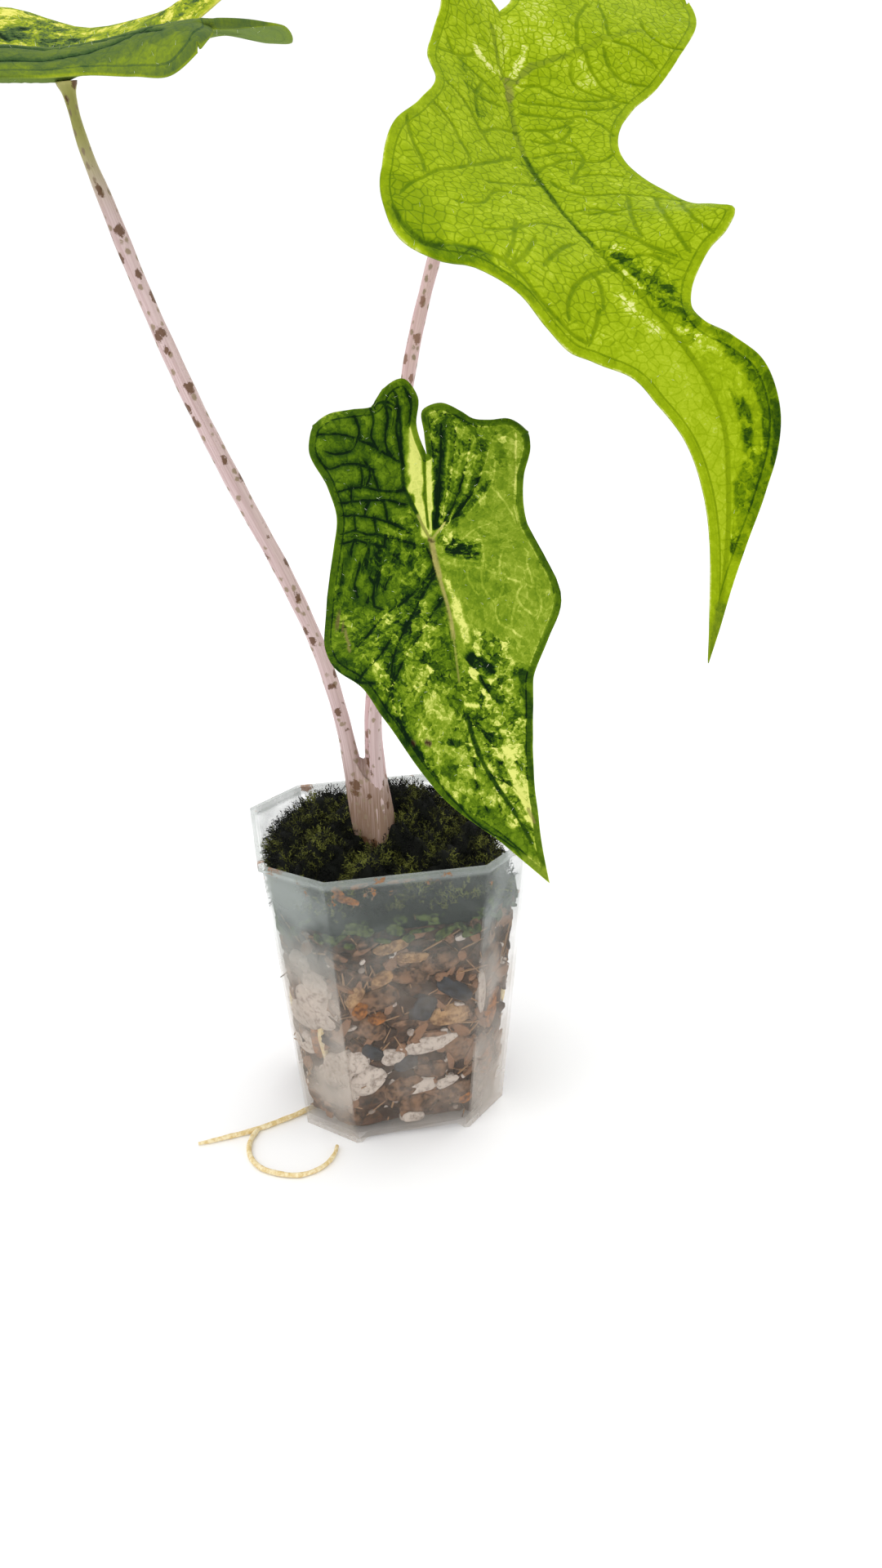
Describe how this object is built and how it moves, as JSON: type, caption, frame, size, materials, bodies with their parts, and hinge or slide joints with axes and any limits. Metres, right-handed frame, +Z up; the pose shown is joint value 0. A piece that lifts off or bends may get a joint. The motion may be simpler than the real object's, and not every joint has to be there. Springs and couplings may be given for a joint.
{
  "type": "potted variegated jacklyn alocasia",
  "caption": "Clear eight-sided nursery pot of chunky mix and moss with tall mottled stalks that carry lobed arrow-shaped variegated blades.",
  "frame": {"origin": "middle of the pot's foot, on the ground", "axes": "+Z up, X and Y square to the pot's flat sides, the leaf tips hang toward -Y"},
  "size_m": [0.334, 0.1879, 0.394],
  "materials": {
    "pot_clear": "clear, lightly hazed",
    "mix": "rough bark, pumice and charcoal chips",
    "moss": "soft moss",
    "root": "matte root skin",
    "stalk": "satin plant skin, mottled",
    "blade_dark": "satin leaf, green and yellow",
    "blade_light": "satin leaf, yellow-green with dark veins",
    "blade_marbled": "satin leaf, dark half and light half"
  },
  "bodies": {
    "root": {"pot": "pot_clear", "potting_mix": "mix", "moss_top": "moss", "rootstock": "root", "petiole_1": "stalk", "petiole_2": "stalk", "petiole_3": "stalk", "leaf_blade_1": "blade_dark", "leaf_blade_2": "blade_light", "leaf_blade_3": "blade_marbled"}
  },
  "joints": []
}
